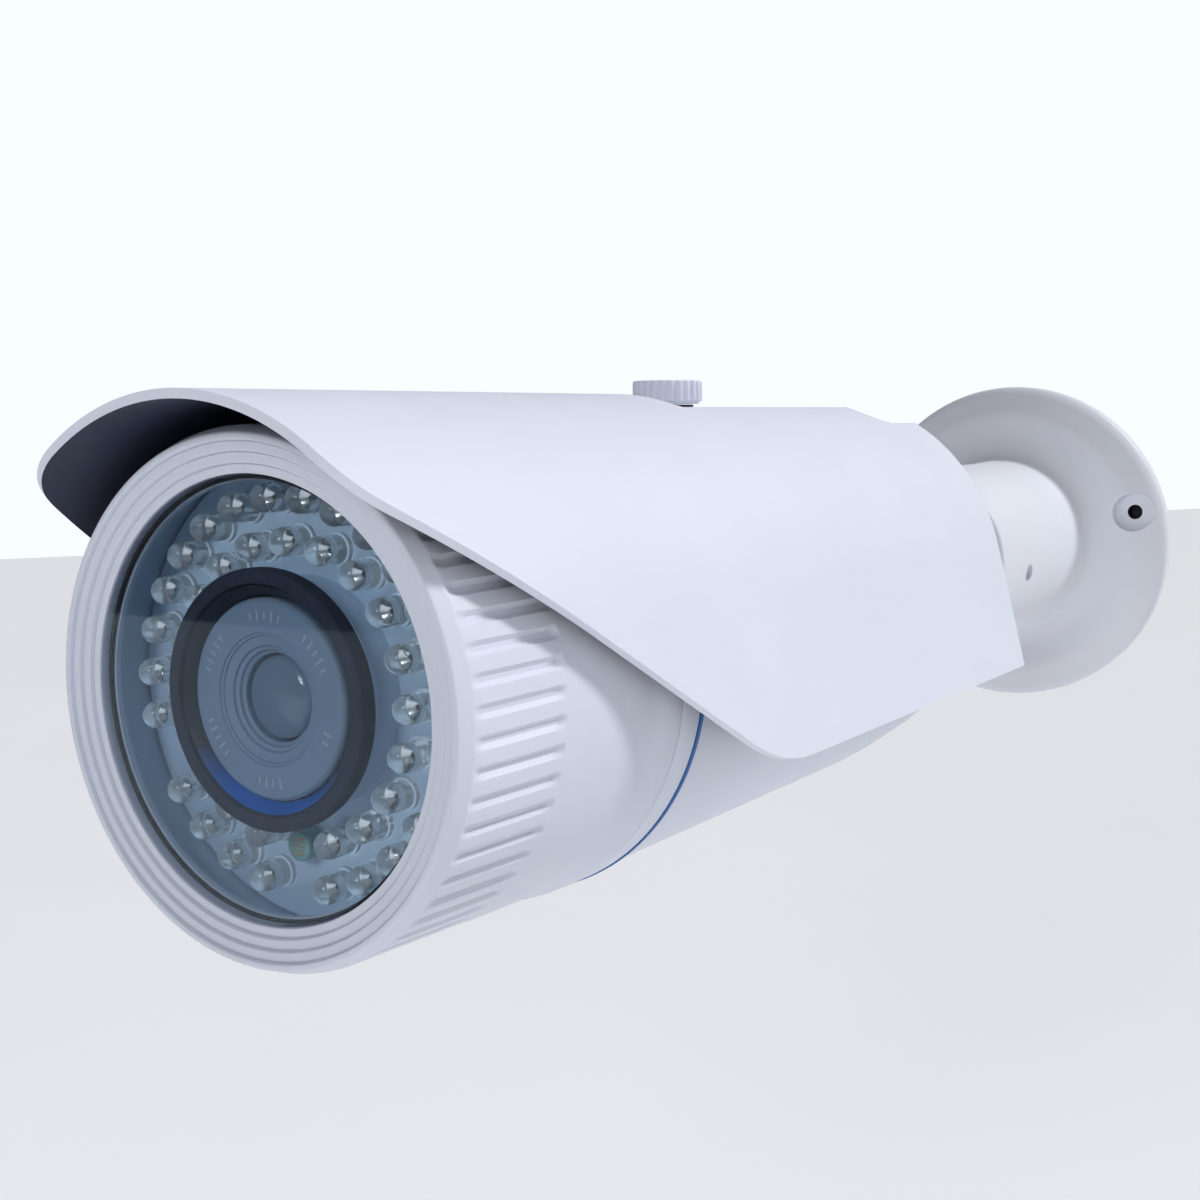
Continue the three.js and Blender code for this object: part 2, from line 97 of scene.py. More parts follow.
def rounded(points, radius, steps=4, closed=True):
    """The outline with its corners rounded. A point's third value is a radius of its own."""
    out = []
    count = len(points)
    for i, point in enumerate(points):
        here = Vector(point[:2])
        own = point[2] if len(point) > 2 else radius
        if own == 0 or (not closed and i in (0, count - 1)):
            out.append(tuple(here))
            continue
        before = Vector(points[i - 1][:2]) - here
        after = Vector(points[(i + 1) % count][:2]) - here
        reach = min(own, 0.45 * before.length, 0.45 * after.length)
        start = here + before.normalized() * reach
        end = here + after.normalized() * reach
        for k in range(steps + 1):
            t = k / steps
            out.append(tuple(start * (1 - t) ** 2 + here * 2 * t * (1 - t) + end * t ** 2))
    return out


def finished(name, mesh, material, smooth=35):
    """A new object from a bmesh, shaded smooth except where it turns sharply."""
    bmesh.ops.remove_doubles(mesh, verts=mesh.verts, dist=1e-7)
    bmesh.ops.recalc_face_normals(mesh, faces=mesh.faces)
    data = bpy.data.meshes.new(name)
    mesh.to_mesh(data)
    mesh.free()
    data.polygons.foreach_set("use_smooth", [True] * len(data.polygons))
    data.set_sharp_from_angle(angle=math.radians(smooth))
    thing = bpy.data.objects.new(name, data)
    bpy.context.scene.collection.objects.link(thing)
    if material:
        data.materials.append(material)
    return thing


def between(a, b, sides):
    """The corners of each face between two rings of points. A ring of one point is a tip."""
    faces = []
    for i in range(sides):
        j = (i + 1) % sides
        corners = list(dict.fromkeys([a[i % len(a)], a[j % len(a)], b[j % len(b)], b[i % len(b)]]))
        if len(corners) > 2:
            faces.append(corners)
    return faces


def lathe(name, profile, material=None, sides=180, shape=None):
    """A solid turned about the camera's axis. shape changes a radius by (radius, station, angle)."""
    mesh = bmesh.new()
    rings = []
    for radius, station in profile:
        if radius < 1e-6:
            rings.append([mesh.verts.new(spot(0, station, 0))])
            continue
        ring = []
        for i in range(sides):
            angle = TAU * i / sides
            r = shape(radius, station, angle) if shape else radius
            ring.append(mesh.verts.new(around(r, station, angle)))
        rings.append(ring)
    pairs = list(zip(rings, rings[1:]))
    if len(rings[0]) > 1:
        pairs.append((rings[-1], rings[0]))
    for a, b in pairs:
        for corners in between(a, b, sides):
            mesh.faces.new(corners)
    return finished(name, mesh, material)


def ring(name, inner, outer, front, back, material=None, soften=0.3, sides=180):
    profile = [(inner, front), (outer, front), (outer, back), (inner, back)]
    return lathe(name, rounded(profile, soften), material, sides)


def drawn_out(corners, shift):
    """A closed mesh: the face with these corners, drawn out by shift millimetres."""
    mesh = bmesh.new()
    near = mesh.faces.new([mesh.verts.new(corner) for corner in corners])
    grown = bmesh.ops.extrude_face_region(mesh, geom=[near])["geom"]
    far = [v for v in grown if isinstance(v, bmesh.types.BMVert)]
    bmesh.ops.translate(mesh, verts=far, vec=Vector(shift) * MM)
    return mesh


def slab_across(name, outline, low, high, material=None, soften=0.5):
    """An outline in (station, z) run across the camera from x = low to x = high."""
    mesh = drawn_out([spot(low, s, z) for s, z in outline], (high - low, 0, 0))
    bmesh.ops.recalc_face_normals(mesh, faces=mesh.faces)
    if soften:
        sharp = [e for e in mesh.edges if len(e.link_faces) == 2 and e.calc_face_angle() > 0.6]
        bmesh.ops.bevel(mesh, geom=sharp, offset=soften * MM, segments=3, affect="EDGES")
    return finished(name, mesh, material)


def rod(name, start, end, radius, material=None, sides=48, soften=0.0):
    """A round bar between two points, with softened ends."""
    mesh = bmesh.new()
    length = (end - start).length
    bmesh.ops.create_cone(mesh, cap_ends=True, segments=sides, radius1=radius * MM,
                          radius2=radius * MM, depth=length)
    if soften:
        rims = [e for e in mesh.edges if e.calc_face_angle(0) > 1.2]
        bmesh.ops.bevel(mesh, geom=rims, offset=soften * MM, segments=3, affect="EDGES")
    turn = (end - start).to_track_quat("Z", "Y").to_matrix().to_4x4()
    bmesh.ops.transform(mesh, verts=mesh.verts, matrix=Matrix.Translation((start + end) / 2) @ turn)
    return finished(name, mesh, material)


def upright(name, outline, low, high):
    """An outline in (x, station) run up from z = low to z = high."""
    mesh = drawn_out([spot(x, s, low) for x, s in outline], (0, 0, high - low))
    return finished(name, mesh, None)


def combine(target, tool, operation="DIFFERENCE"):
    """Cuts the tool from the target, or joins it on, and removes the tool."""
    modifier = target.modifiers.new(operation, "BOOLEAN")
    modifier.operation = operation
    modifier.solver = "EXACT"
    modifier.use_self = True
    modifier.material_mode = "TRANSFER"
    modifier.object = tool
    bake(target)
    bpy.data.objects.remove(tool)
    return target


def bake(target, smooth=35):
    """Applies the object's modifiers to its mesh, and faces it outwards."""
    depsgraph = bpy.context.evaluated_depsgraph_get()
    data = bpy.data.meshes.new_from_object(target.evaluated_get(depsgraph))
    target.modifiers.clear()
    target.data = data
    mesh = bmesh.new()
    mesh.from_mesh(data)
    bmesh.ops.recalc_face_normals(mesh, faces=mesh.faces)
    mesh.to_mesh(data)
    mesh.free()
    data.polygons.foreach_set("use_smooth", [True] * len(data.polygons))
    data.set_sharp_from_angle(angle=math.radians(smooth))


def even_shading(target):
    modifier = target.modifiers.new("even shading", "WEIGHTED_NORMAL")
    modifier.keep_sharp = True


def repaint(thing, material, chosen):
    """Gives the faces that are chosen, by radius and station, a second material."""
    thing.data.materials.append(material)
    for face in thing.data.polygons:
        x, y, z = face.center / MM
        if chosen(math.hypot(x, z), y + REACH):
            face.material_index = 1


def shown(thing, body, slot, *nodes):
    """Puts a piece on its body and hides the CAD nodes it stands for; slot, the record's finish, is not
    used.
    """
    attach(thing, body)
    if nodes:
        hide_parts(*nodes)


# ---- materials ----------------------------------------------------------------------------
def blank(name):
    material = bpy.data.materials.new(name)
    material.use_nodes = True
    tree = material.node_tree
    return material, tree, tree.nodes["Principled BSDF"]


def noise(tree, scale, detail=3.0):
    place = tree.nodes.new("ShaderNodeTexCoord")
    texture = tree.nodes.new("ShaderNodeTexNoise")
    texture.inputs["Scale"].default_value = scale
    texture.inputs["Detail"].default_value = detail
    tree.links.new(place.outputs["Object"], texture.inputs["Vector"])
    return texture.outputs["Fac"]


def spread(tree, factor, low, high):
    """Maps the middle of a noise onto the range from low to high."""
    node = tree.nodes.new("ShaderNodeMapRange")
    node.inputs["From Min"].default_value = 0.3
    node.inputs["From Max"].default_value = 0.7
    node.inputs["To Min"].default_value = low
    node.inputs["To Max"].default_value = high
    tree.links.new(factor, node.inputs["Value"])
    return node.outputs["Result"]


def surface(name, colour, rough, grain=700, bump=0.03, vary=0.03, patch=25, metal=0.0, coat=0.0,
            gloss=0.5):
    """A moulded, painted or machined finish: patchy colour and roughness over a fine grain."""
    material, tree, shader = blank(name)
    mix = tree.nodes.new("ShaderNodeMix")
    mix.data_type = "RGBA"
    tone = [max(0.0, c * (1 - vary)) for c in colour]
    bright = [min(1.0, c * (1 + vary)) for c in colour]
    mix.inputs["A"].default_value = (*tone, 1)
    mix.inputs["B"].default_value = (*bright, 1)
    tree.links.new(spread(tree, noise(tree, patch), 0, 1), mix.inputs["Factor"])
    tree.links.new(mix.outputs["Result"], shader.inputs["Base Color"])
    tree.links.new(spread(tree, noise(tree, patch * 3), rough * 0.85, min(1, rough * 1.15)),
                   shader.inputs["Roughness"])
    bumps = tree.nodes.new("ShaderNodeBump")
    bumps.inputs["Strength"].default_value = bump
    bumps.inputs["Distance"].default_value = 0.0005
    tree.links.new(noise(tree, grain), bumps.inputs["Height"])
    tree.links.new(bumps.outputs["Normal"], shader.inputs["Normal"])
    shader.inputs["Metallic"].default_value = metal
    shader.inputs["Coat Weight"].default_value = coat
    shader.inputs["Specular IOR Level"].default_value = gloss
    return material


def ring_painted_lit_below(name, dark, bright):
    """A ring painted bright at its lowest part, where it is lit, and darker upwards, where it is in painted
    shade.
    """
    material, tree, shader = blank(name)
    place = tree.nodes.new("ShaderNodeTexCoord")
    split = tree.nodes.new("ShaderNodeSeparateXYZ")
    tree.links.new(place.outputs["Object"], split.inputs["Vector"])
    height = tree.nodes.new("ShaderNodeMapRange")
    height.inputs["From Min"].default_value = -0.009
    height.inputs["From Max"].default_value = -0.016
    tree.links.new(split.outputs["Z"], height.inputs["Value"])
    mix = tree.nodes.new("ShaderNodeMix")
    mix.data_type = "RGBA"
    mix.inputs["A"].default_value = (*dark, 1)
    mix.inputs["B"].default_value = (*bright, 1)
    tree.links.new(height.outputs["Result"], mix.inputs["Factor"])
    tree.links.new(mix.outputs["Result"], shader.inputs["Base Color"])
    tree.links.new(spread(tree, noise(tree, 90), 0.3, 0.4), shader.inputs["Roughness"])
    return material


def clear_moulding(name, tint, rough, clear=0.85):
    """Slightly milky clear plastic or coated glass, which lets lamps through to what is inside."""
    material, tree, shader = blank(name)
    shader.inputs["Base Color"].default_value = (*tint, 1)
    shader.inputs["Transmission Weight"].default_value = clear
    shader.inputs["IOR"].default_value = 1.45
    tree.links.new(spread(tree, noise(tree, 300), rough, rough * 2.5), shader.inputs["Roughness"])
    passing = tree.nodes.new("ShaderNodeBsdfTransparent")
    passing.inputs["Color"].default_value = (*tint, 1)
    path = tree.nodes.new("ShaderNodeLightPath")
    mix = tree.nodes.new("ShaderNodeMixShader")
    tree.links.new(path.outputs["Is Shadow Ray"], mix.inputs["Fac"])
    tree.links.new(shader.outputs["BSDF"], mix.inputs[1])
    tree.links.new(passing.outputs["BSDF"], mix.inputs[2])
    tree.links.new(mix.outputs["Shader"], tree.nodes["Material Output"].inputs["Surface"])
    return material


def pane(name, tint, mirror, ior):
    """A thin window: what is behind it shows straight through, under a Fresnel reflection."""
    material, tree, shader = blank(name)
    tree.nodes.remove(shader)
    passing = tree.nodes.new("ShaderNodeBsdfTransparent")
    passing.inputs["Color"].default_value = (*tint, 1)
    gloss = tree.nodes.new("ShaderNodeBsdfGlossy")
    gloss.inputs["Color"].default_value = (*mirror, 1)
    tree.links.new(spread(tree, noise(tree, 60), 0.015, 0.05), gloss.inputs["Roughness"])
    fresnel = tree.nodes.new("ShaderNodeFresnel")
    fresnel.inputs["IOR"].default_value = ior
    mix = tree.nodes.new("ShaderNodeMixShader")
    tree.links.new(fresnel.outputs["Fac"], mix.inputs["Fac"])
    tree.links.new(passing.outputs["BSDF"], mix.inputs[1])
    tree.links.new(gloss.outputs["BSDF"], mix.inputs[2])
    tree.links.new(mix.outputs["Shader"], tree.nodes["Material Output"].inputs["Surface"])
    return material


WHITE = surface("white powder coat", (0.73, 0.75, 0.84), 0.55, grain=1600, bump=0.05, vary=0.012, gloss=0.22)
BEZEL = surface("bezel powder coat", (0.69, 0.71, 0.80), 0.5, grain=1600, bump=0.05, vary=0.015, gloss=0.35)
BRACKET = surface("bracket powder coat", (0.76, 0.77, 0.83), 0.5, grain=1600, bump=0.06, vary=0.015,
                  gloss=0.3)
# Painted shade: the screw holes' walls are coloured near black for the shade inside them.
HOLE_PAINTED_SHADE = surface("screw hole painted shade", (0.02, 0.02, 0.024), 0.6, grain=900, bump=0.1)
# Painted shade: the sunshade's inside is coloured near-black navy to stand for the shade under its shell.
SUNSHADE_PAINTED_SHADE = surface("sunshade inside painted shade", (0.022, 0.027, 0.055), 0.5, grain=1200, bump=0.05)
RUBBER = surface("black rubber", (0.012, 0.012, 0.014), 0.75, grain=900, bump=0.15)
BLACK = surface("black plastic", (0.02, 0.021, 0.024), 0.5, grain=900, bump=0.08)
BLUE = surface("blue seal", (0.03, 0.13, 0.40), 0.4, grain=900, bump=0.05)
# Painted light and shade: the blue ring is bright blue low down where it is lit, and near black above where
# it is in shade.
BLUE_RING = ring_painted_lit_below("blue anodised ring with painted shade", (0.012, 0.018, 0.035), (0.0, 0.12, 0.50))
FOAM = surface("lens foam", (0.022, 0.030, 0.055), 0.9, grain=450, bump=0.5, vary=0.15, patch=160)
LENS_GREY = surface("lens grey", (0.235, 0.325, 0.44), 0.45, grain=1100, bump=0.06)
MARKS = surface("printed marks", (0.42, 0.50, 0.58), 0.6, grain=900, bump=0.05)
STEEL = surface("steel", (0.55, 0.55, 0.57), 0.3, grain=500, bump=0.06, metal=1.0)
SILVER = surface("silvered lead frame", (0.85, 0.85, 0.84), 0.18, grain=500, bump=0.1, metal=1.0)
BRASS = surface("brass", (0.62, 0.45, 0.18), 0.32, grain=500, bump=0.05, metal=1.0)
ALLOY = surface("alloy sheet", (0.6, 0.61, 0.63), 0.4, grain=400, bump=0.08, metal=1.0)
CIRCUIT = surface("green circuit board", (0.03, 0.16, 0.08), 0.45, grain=260, bump=0.2, vary=0.2)
DARK_BOARD = surface("LED circuit board", (0.55, 0.68, 0.82), 0.5, grain=260, bump=0.1, vary=0.08)
CHIP = surface("chip package", (0.018, 0.018, 0.02), 0.55, grain=900, bump=0.1)
CELL = surface("light cell", (0.16, 0.36, 0.36), 0.35, grain=700, bump=0.1, coat=0.5)
CELL_TRACK = surface("light cell track", (0.45, 0.22, 0.08), 0.5, grain=700, bump=0.1)
EPOXY = clear_moulding("clear epoxy", (0.93, 0.96, 0.97), 0.02)
LENS_GLASS = clear_moulding("coated lens", (0.26, 0.36, 0.48), 0.05, 0.4)
WINDOW = pane("window front", (0.90, 0.94, 0.97), (0.74, 0.87, 1.0), 1.5)
WINDOW_BACK = pane("window back", (0.98, 0.99, 1.0), (0.5, 0.6, 0.8), 1.02)

FINISHES = {
    "white_shell": WHITE, "bezel": BEZEL, "bracket": BRACKET, "window": WINDOW_BACK,
    "gasket": RUBBER, "black_plastic": BLACK, "blue_seal": BLUE, "foam": FOAM,
    "lens_grey": LENS_GREY, "led_clear": EPOXY, "sensor_cell": CELL, "steel": STEEL,
    "brass": BRASS, "alloy": ALLOY, "circuit": CIRCUIT, "dark_board": DARK_BOARD, "chip": CHIP,
}


def finish_cad_nodes():
    for row in frame["record"]["subparts"]:
        data = frame["nodes"][row["node"]].data
        data.materials.clear()
        data.materials.append(FINISHES[row["material_slot"]])


# ---- front barrel -------------------------------------------------------------------------
RIBS = 60
RIB_FRONT = 2.8
RIB_BACK = 26


def ribbed(radius, station, angle):
    """Sinks the grooves between the grip ribs into the barrel's outside."""
    if radius < 45 or not RIB_FRONT < station < RIB_BACK:
        return radius
    across = abs((angle * RIBS / TAU) % 1 - 0.5) * 2
    groove = min(1, max(0, (0.52 - across) / 0.36))
    ramp = min((station - RIB_FRONT) / 3, (RIB_BACK - station) / 1.6, 1)
    soft = groove * groove * (3 - 2 * groove)
    return radius - 0.75 * soft * math.sin(ramp * math.pi / 2)


def front_bezel():
    lands = (42.6, 40.8, 38.9)
    drop = 0.7
    face = [(BEZEL_R, 0, 0.9)]
    for i, r in enumerate(lands):
        face += [(r + 0.25, i * drop, 0.25), (r + 0.1, i * drop + 1.0, 0.12), (r - 0.1, (i + 1) * drop, 0.3)]
    face += [(LIP_R, 3 * drop, 0.3), (LIP_R, 4.8), (36.3, 4.8, 0.1), (36.3, 6, 0.1), (41, 10), (41, SEAM)]
    side = [(47.6, SEAM, 0.3), (47.5, 56.5, 2), (46.7, 52, 2), (46.3, 34), (45.9, 26.4)]
    rib_rows = [RIB_BACK - 0.2 - k * (RIB_BACK - RIB_FRONT - 0.4) / 16 for k in range(17)]
    rows = [(45.9 - (RIB_BACK - s) * 0.03, s, 0) for s in rib_rows]
    profile = rounded(face + side + rows + [(45.15, RIB_FRONT, 0), (44.75, 1.9, 1)], 0.35)
    bezel = lathe("bezel_casting", profile, BEZEL, sides=RIBS * 12, shape=ribbed)
    repaint(bezel, DARK_BOARD, lambda radius, station: radius < 41.2 and station > 4.9)
    shown(bezel, "head", "bezel", "front_bezel")


def window():
    rim = LIP_R - 0.3
    gasket = ring("window_seal", 36.5, rim, GLASS_BACK + 0.3, 4.5, RUBBER, 0.1)
    shown(gasket, "head", "gasket", "window_gasket")
    outline = rounded([(0, GLASS_FRONT), (rim, GLASS_FRONT), (rim, GLASS_BACK), (0, GLASS_BACK)], 0.2,
                      closed=False)
    glass = lathe("window_pane", outline, WINDOW, sides=120)
    glass.data.materials.append(WINDOW_BACK)
    for face in glass.data.polygons:
        if face.normal.y > -0.5:
            face.material_index = 1
    shown(glass, "head", "window", "window_glass")


def barrel_joint():
    band = ring("joint_band", 43.6, 47.6, SEAM + 0.3, SEAL_FRONT - 0.3, WHITE, 0.35)
    shown(band, "head", "white_shell", "clamp_band")
    seal = ring("blue_seal_ring", 43.6, 47.85, SEAL_FRONT, SEAL_FRONT + 0.9, BLUE, 0.3)
    shown(seal, "head", "blue_seal", "seal_ring")


# ---- rear housing and tail ----------------------------------------------------------------
def rear_housing():
    front = SEAL_FRONT + 1.2
    profile = rounded([
        (44.2, front + 4), (41.4, front + 1), (41.4, SEAM + 0.3), (43.2, SEAM + 0.3), (43.2, front, 0),
        (HOUSING_R, front, 0.5), (HOUSING_R, 183, 8), (46.2, 197, 6), (45.1, 212, 5),
        (43.9, 220, 3), (42.7, HOUSING_END, 0.3), (38, HOUSING_END), (38, 218), (41, 216), (42.5, 205),
        (44.2, 190),
    ], 0.4, steps=6)
    housing = lathe("housing_tube", profile, WHITE, sides=240)
    flat = LAND_Z - 1.8
    combine(housing, upright("flat", [(-20, 84), (20, 84), (20, 230), (-20, 230)], flat, 60))
    combine(housing, rod("bore", spot(0, KNOB_AT, 38), spot(0, KNOB_AT, 49), 4.5))
    shown(housing, "head", "white_shell", "rear_housing")
    insert = rod("insert", spot(0, KNOB_AT, 42.2), spot(0, KNOB_AT, flat - 0.2), 4.2, BRASS, soften=0.3)
    combine(insert, rod("bore", spot(0, KNOB_AT, 41), spot(0, KNOB_AT, 48), 2.6))
    shown(insert, "head", "brass", "thread_insert")


def tail():
    cap = lathe("tail_casting", rounded([
        (8, 227), (31, 227), (33, 219), (37.7, 219), (37.7, 226.3), (42.5, 226.3, 0.3), (41.6, 229.2, 3),
        (38.6, 233.3, 4), (32.5, 236.8, 4), (26.8, TAIL_END, 2), (22, TAIL_END, 0), (22, BOSS_END, 0.4),
        (8, BOSS_END),
    ], 0.4, steps=6), WHITE, sides=240)
    shown(cap, "head", "white_shell", "tail_cap")
    gland = lathe("tail_gland", rounded([
        (3.2, 220), (10.5, 220), (10.5, 226.7), (7.6, 226.7), (7.6, 242), (5.5, BOSS_END), (3.2, BOSS_END),
    ], 0.3), RUBBER, sides=72)
    shown(gland, "head", "gasket", "cable_gland")


# ---- sunshade -----------------------------------------------------------------------------
SLANT = 0.6
CORNER_Z = 37


def slant_station(z):
    return SHADE_FRONT + (CORNER_Z - z) / SLANT


def shade_front(z):
    """Station of the shade's front edge at a height: flat, a soft bend, the slant, a soft corner."""
    if z >= CORNER_Z + 5:
        return SHADE_FRONT
    if z > CORNER_Z - 4:
        t = 5 - math.sqrt(25 - (CORNER_Z + 5 - z))
        return SHADE_FRONT + t * t * 4 / SLANT
    if z >= SHADE_LOW + 6:
        return slant_station(z)
    t = 1 - math.sqrt(max(0, 1 + (z - SHADE_LOW - 6) / 6))
    low = slant_station(SHADE_LOW)
    return slant_station(SHADE_LOW + 6) * (1 - t) ** 2 + low * 2 * t * (1 - t) + (low + 12) * t * t


def steps_between(low, high, count):
    return [low + (high - low) * k / count for k in range(count + 1)]


def shade_columns():
    """The shade's outer section from its left lower edge over the top to its right one."""
    land_edge = math.degrees(math.asin(LAND_Z / SHADE_R))
    angles = steps_between(90, land_edge, 8) + steps_between(land_edge, SHADE_FLARE, 40)[1:]
    right = [(SHADE_R * math.cos(math.radians(a)), SHADE_R * math.sin(math.radians(a))) for a in angles]
    x, z = right[-1]
    heights = steps_between(z, SHADE_LOW + 6, 14)[1:]
    heights += [SHADE_LOW + 6 * (1 - t) ** 1.5 for t in steps_between(0, 1, 8)[1:]]
    lean = math.tan(math.radians(SHADE_FLARE))
    right += [(x + (z - h) * lean, h) for h in heights]
    left = [(-px, pz) for px, pz in reversed(right)]
    return left + right[1:]


def sunshade():
    mesh = bmesh.new()
    sheet = []
    half_land = math.sqrt(SHADE_R ** 2 - LAND_Z ** 2) - 1e-6
    for x, z in shade_columns():
        front = shade_front(z)
        stations = steps_between(front, LAND_FRONT - 0.4, 34)
        stations += steps_between(LAND_FRONT + 0.4, SHADE_REAR, 32)
        column = []
        for s in stations:
            sunk = s > LAND_FRONT and abs(x) < half_land
            column.append(mesh.verts.new(spot(x, s, LAND_Z if sunk else z)))
        sheet.append(column)
    for a, b in zip(sheet, sheet[1:]):
        for k in range(len(a) - 1):
            mesh.faces.new((a[k], a[k + 1], b[k + 1], b[k]))
    shade = finished("sunshade_shell", mesh, WHITE)
    outward = sum(face.normal.z for face in shade.data.polygons) > 0
    if not outward:
        shade.data.flip_normals()
    # The solid wall's inner faces take the sunshade's painted shade.
    shade.data.materials.append(SUNSHADE_PAINTED_SHADE)
    wall = shade.modifiers.new("wall", "SOLIDIFY")
    wall.thickness = SHADE_THICK * MM
    wall.offset = -1
    wall.use_even_offset = True
    wall.material_offset = 1
    bake(shade)
    combine(shade, upright("slot", slot_outline(), 40, 55))
    combine(shade, upright("notch", notch_outline(), 40, 55))
    shown(shade, "shade", "white_shell", "sunshade")


def slot_outline():
    """Round-ended, in (x, station)."""
    outline = []
    for centre, start in ((KNOB_AT - 4.5, math.pi / 2), (SLOT_END - SLOT_HALF, 3 * math.pi / 2)):
        for k in range(16):
            angle = start + math.pi * k / 15
            outline.append((SLOT_HALF * math.sin(angle), centre + SLOT_HALF * math.cos(angle)))
    return outline


def notch_outline():
    """Round-cornered, in (x, station), and open past the shade's rear edge."""
    half, front, corner = 26, 196, 10
    right = []
    for k in range(13):
        angle = math.pi / 2 * k / 12
        right.append((half - corner + corner * math.sin(angle), front + corner - corner * math.cos(angle)))
    right.append((half, SHADE_REAR + 2))
    return right + [(-x, s) for x, s in reversed(right)]


FLUTES = 24
FLUTE_DEPTH = 0.55
FLUTE_END = 0.5  # the flutes fade out this far below the knob's top


def thumb_screw():
    """The fluted knob is turned about a vertical line, so it is drawn here ring by ring."""
    seat = LAND_Z + 0.9
    top = 54
    profile = rounded([
        (0, seat, 0), (7.2, seat, 0), (7.2, seat + 0.5, 0.1), (8, seat + 0.6, 0.2), (8, top, 0.9),
        (6.4, top, 0.3), (6.1, top - 0.35, 0.3), (0, top - 0.35, 0),
    ], 0.2, closed=False)
    sides = FLUTES * 12
    mesh = bmesh.new()
    rings = []
    for radius, z in profile:
        if radius < 1e-6:
            rings.append([mesh.verts.new(spot(0, KNOB_AT, z))])
            continue
        row = []
        for i in range(sides):
            angle = TAU * i / sides
            wave = 0.5 + 0.5 * math.cos(angle * FLUTES)
            fading = min(1.0, max(0.0, (top - z) / FLUTE_END))
            r = radius - FLUTE_DEPTH * wave ** 2 * fading if radius > 7.3 else radius
            row.append(mesh.verts.new(spot(r * math.cos(angle), KNOB_AT + r * math.sin(angle), z)))
        rings.append(row)
    for a, b in zip(rings, rings[1:]):
        for corners in between(a, b, sides):
            mesh.faces.new(corners)
    knob = finished("fluted_knob", mesh, WHITE, smooth=40)
    shown(knob, "knob", "white_shell", "thumb_knob")
    stud = rod("knob_stud", spot(0, KNOB_AT, 41.8), spot(0, KNOB_AT, seat), 2.3, STEEL, soften=0.3)
    shown(stud, "knob", "steel", "thumb_stud")
    washer = rod("dark_washer", spot(0, KNOB_AT, LAND_Z + 0.2), spot(0, KNOB_AT, LAND_Z + 0.7), 6, BLACK,
                 soften=0.12)
    combine(washer, rod("hole", spot(0, KNOB_AT, 46), spot(0, KNOB_AT, 51), 2.6))
    shown(washer, "washer", "black_plastic", "knob_washer")


# ---- LEDs ---------------------------------------------------------------------------------
LED_R = 2.5


def led_parts(x, z, twist):
    """A 5 mm LED: its clear body, and the lead frame with its cup and chip inside."""
    base = LED_FACE - 0.3
    shoulder = base - 5
    body = [(2.9, base), (2.9, base - 0.9), (LED_R, base - 1.0), (LED_R, shoulder)]
    turns = [k * math.pi / 16 for k in range(1, 9)]
    dome = [(LED_R * math.cos(turn), shoulder - LED_R * math.sin(turn)) for turn in turns]
    clear = turned_at([(0, base)] + body + dome, x, z, 20)
    cup_front = base - 3.9
    cup_floor = cup_front + 0.55
    cup_back = cup_front + 1.3
    cup = [(0, cup_floor), (0.45, cup_floor), (0.95, cup_front), (1.15, cup_front), (1.15, cup_back),
           (0, cup_back)]
    metal = turned_at(cup, x, z, 14)
    chip = block_at(x, z, twist, (0, 0), (0.42, 0.42), cup_front + 0.25, cup_floor)
    post = block_at(x, z, twist, (0.2, 0), (1.3, 0.5), cup_front + 1.2, base + 0.1)
    other = block_at(x, z, twist, (-1.35, 0), (0.5, 0.5), cup_front + 0.2, base + 0.1)
    wire = block_at(x, z, twist, (-0.7, 0), (1.2, 0.08), cup_front + 0.12, cup_front + 0.2)
    return clear, [metal, post, other, wire], chip


def turned_at(profile, x, z, sides):
    """Rings of points about a line that runs along Y through (x, z), as vertices and faces."""
    verts = []
    rings = []
    for radius, station in profile:
        if radius < 1e-6:
            rings.append([len(verts)])
            verts.append(spot(x, station, z))
            continue
        rings.append(list(range(len(verts), len(verts) + sides)))
        for i in range(sides):
            angle = TAU * i / sides
            verts.append(spot(x + radius * math.cos(angle), station, z + radius * math.sin(angle)))
    faces = []
    for a, b in zip(rings, rings[1:]):
        faces += between(a, b, sides)
    return verts, faces


def block_at(x, z, twist, centre, size, front, back):
    """A small box with its cross-section turned by twist about the LED's own line."""
    turn = Matrix.Rotation(twist, 2)
    verts = []
    for station in (front, back):
        for u, v in ((-1, -1), (1, -1), (1, 1), (-1, 1)):
            offset = turn @ Vector((centre[0] + u * size[0] / 2, centre[1] + v * size[1] / 2))
            verts.append(spot(x + offset.x, station, z + offset.y))
    faces = [[0, 1, 2, 3], [7, 6, 5, 4]]
    faces += [[i, (i + 1) % 4, (i + 1) % 4 + 4, i + 4] for i in range(4)]
    return verts, faces


def gathered(name, parts, material):
    """One object from lists of vertices and faces."""
    mesh = bmesh.new()
    for verts, faces in parts:
        points = [mesh.verts.new(v) for v in verts]
        for corners in faces:
            mesh.faces.new([points[c] for c in corners])
    return finished(name, mesh, material, smooth=50)


def led_ring(name, node, radius, angles):
    clears = []
    metals = []
    chips = []
    for i, degrees in enumerate(angles):
        angle = math.radians(degrees)
        twist = i * 2.4
        clear, metal, chip = led_parts(radius * math.cos(angle), radius * math.sin(angle), twist)
        clears.append(clear)
        metals += metal
        chips.append(chip)
    shown(gathered(name + "_domes", clears, EPOXY), "head", "led_clear", node)
    shown(gathered(name + "_frames", metals, SILVER), "head", "steel")
    shown(gathered(name + "_chips", chips, CHIP), "head", "chip")


def led_field():
    board = ring("led_circuit", 19.6, 40.4, LED_FACE, LED_FACE + 1.6, DARK_BOARD, 0.1)
    shown(board, "head", "dark_board", "led_board")
    left = [97 + 13.43 * i for i in range(8)] + [215.5 + 13.9 * i for i in range(4)]
    led_ring("outer_leds", "leds_outer", OUTER_RING_R, left + [180 - a for a in left])
    led_ring("inner_leds", "leds_inner", INNER_RING_R, [18 * i - 90 for i in range(1, 20) if i != 16])
    light_sensor()


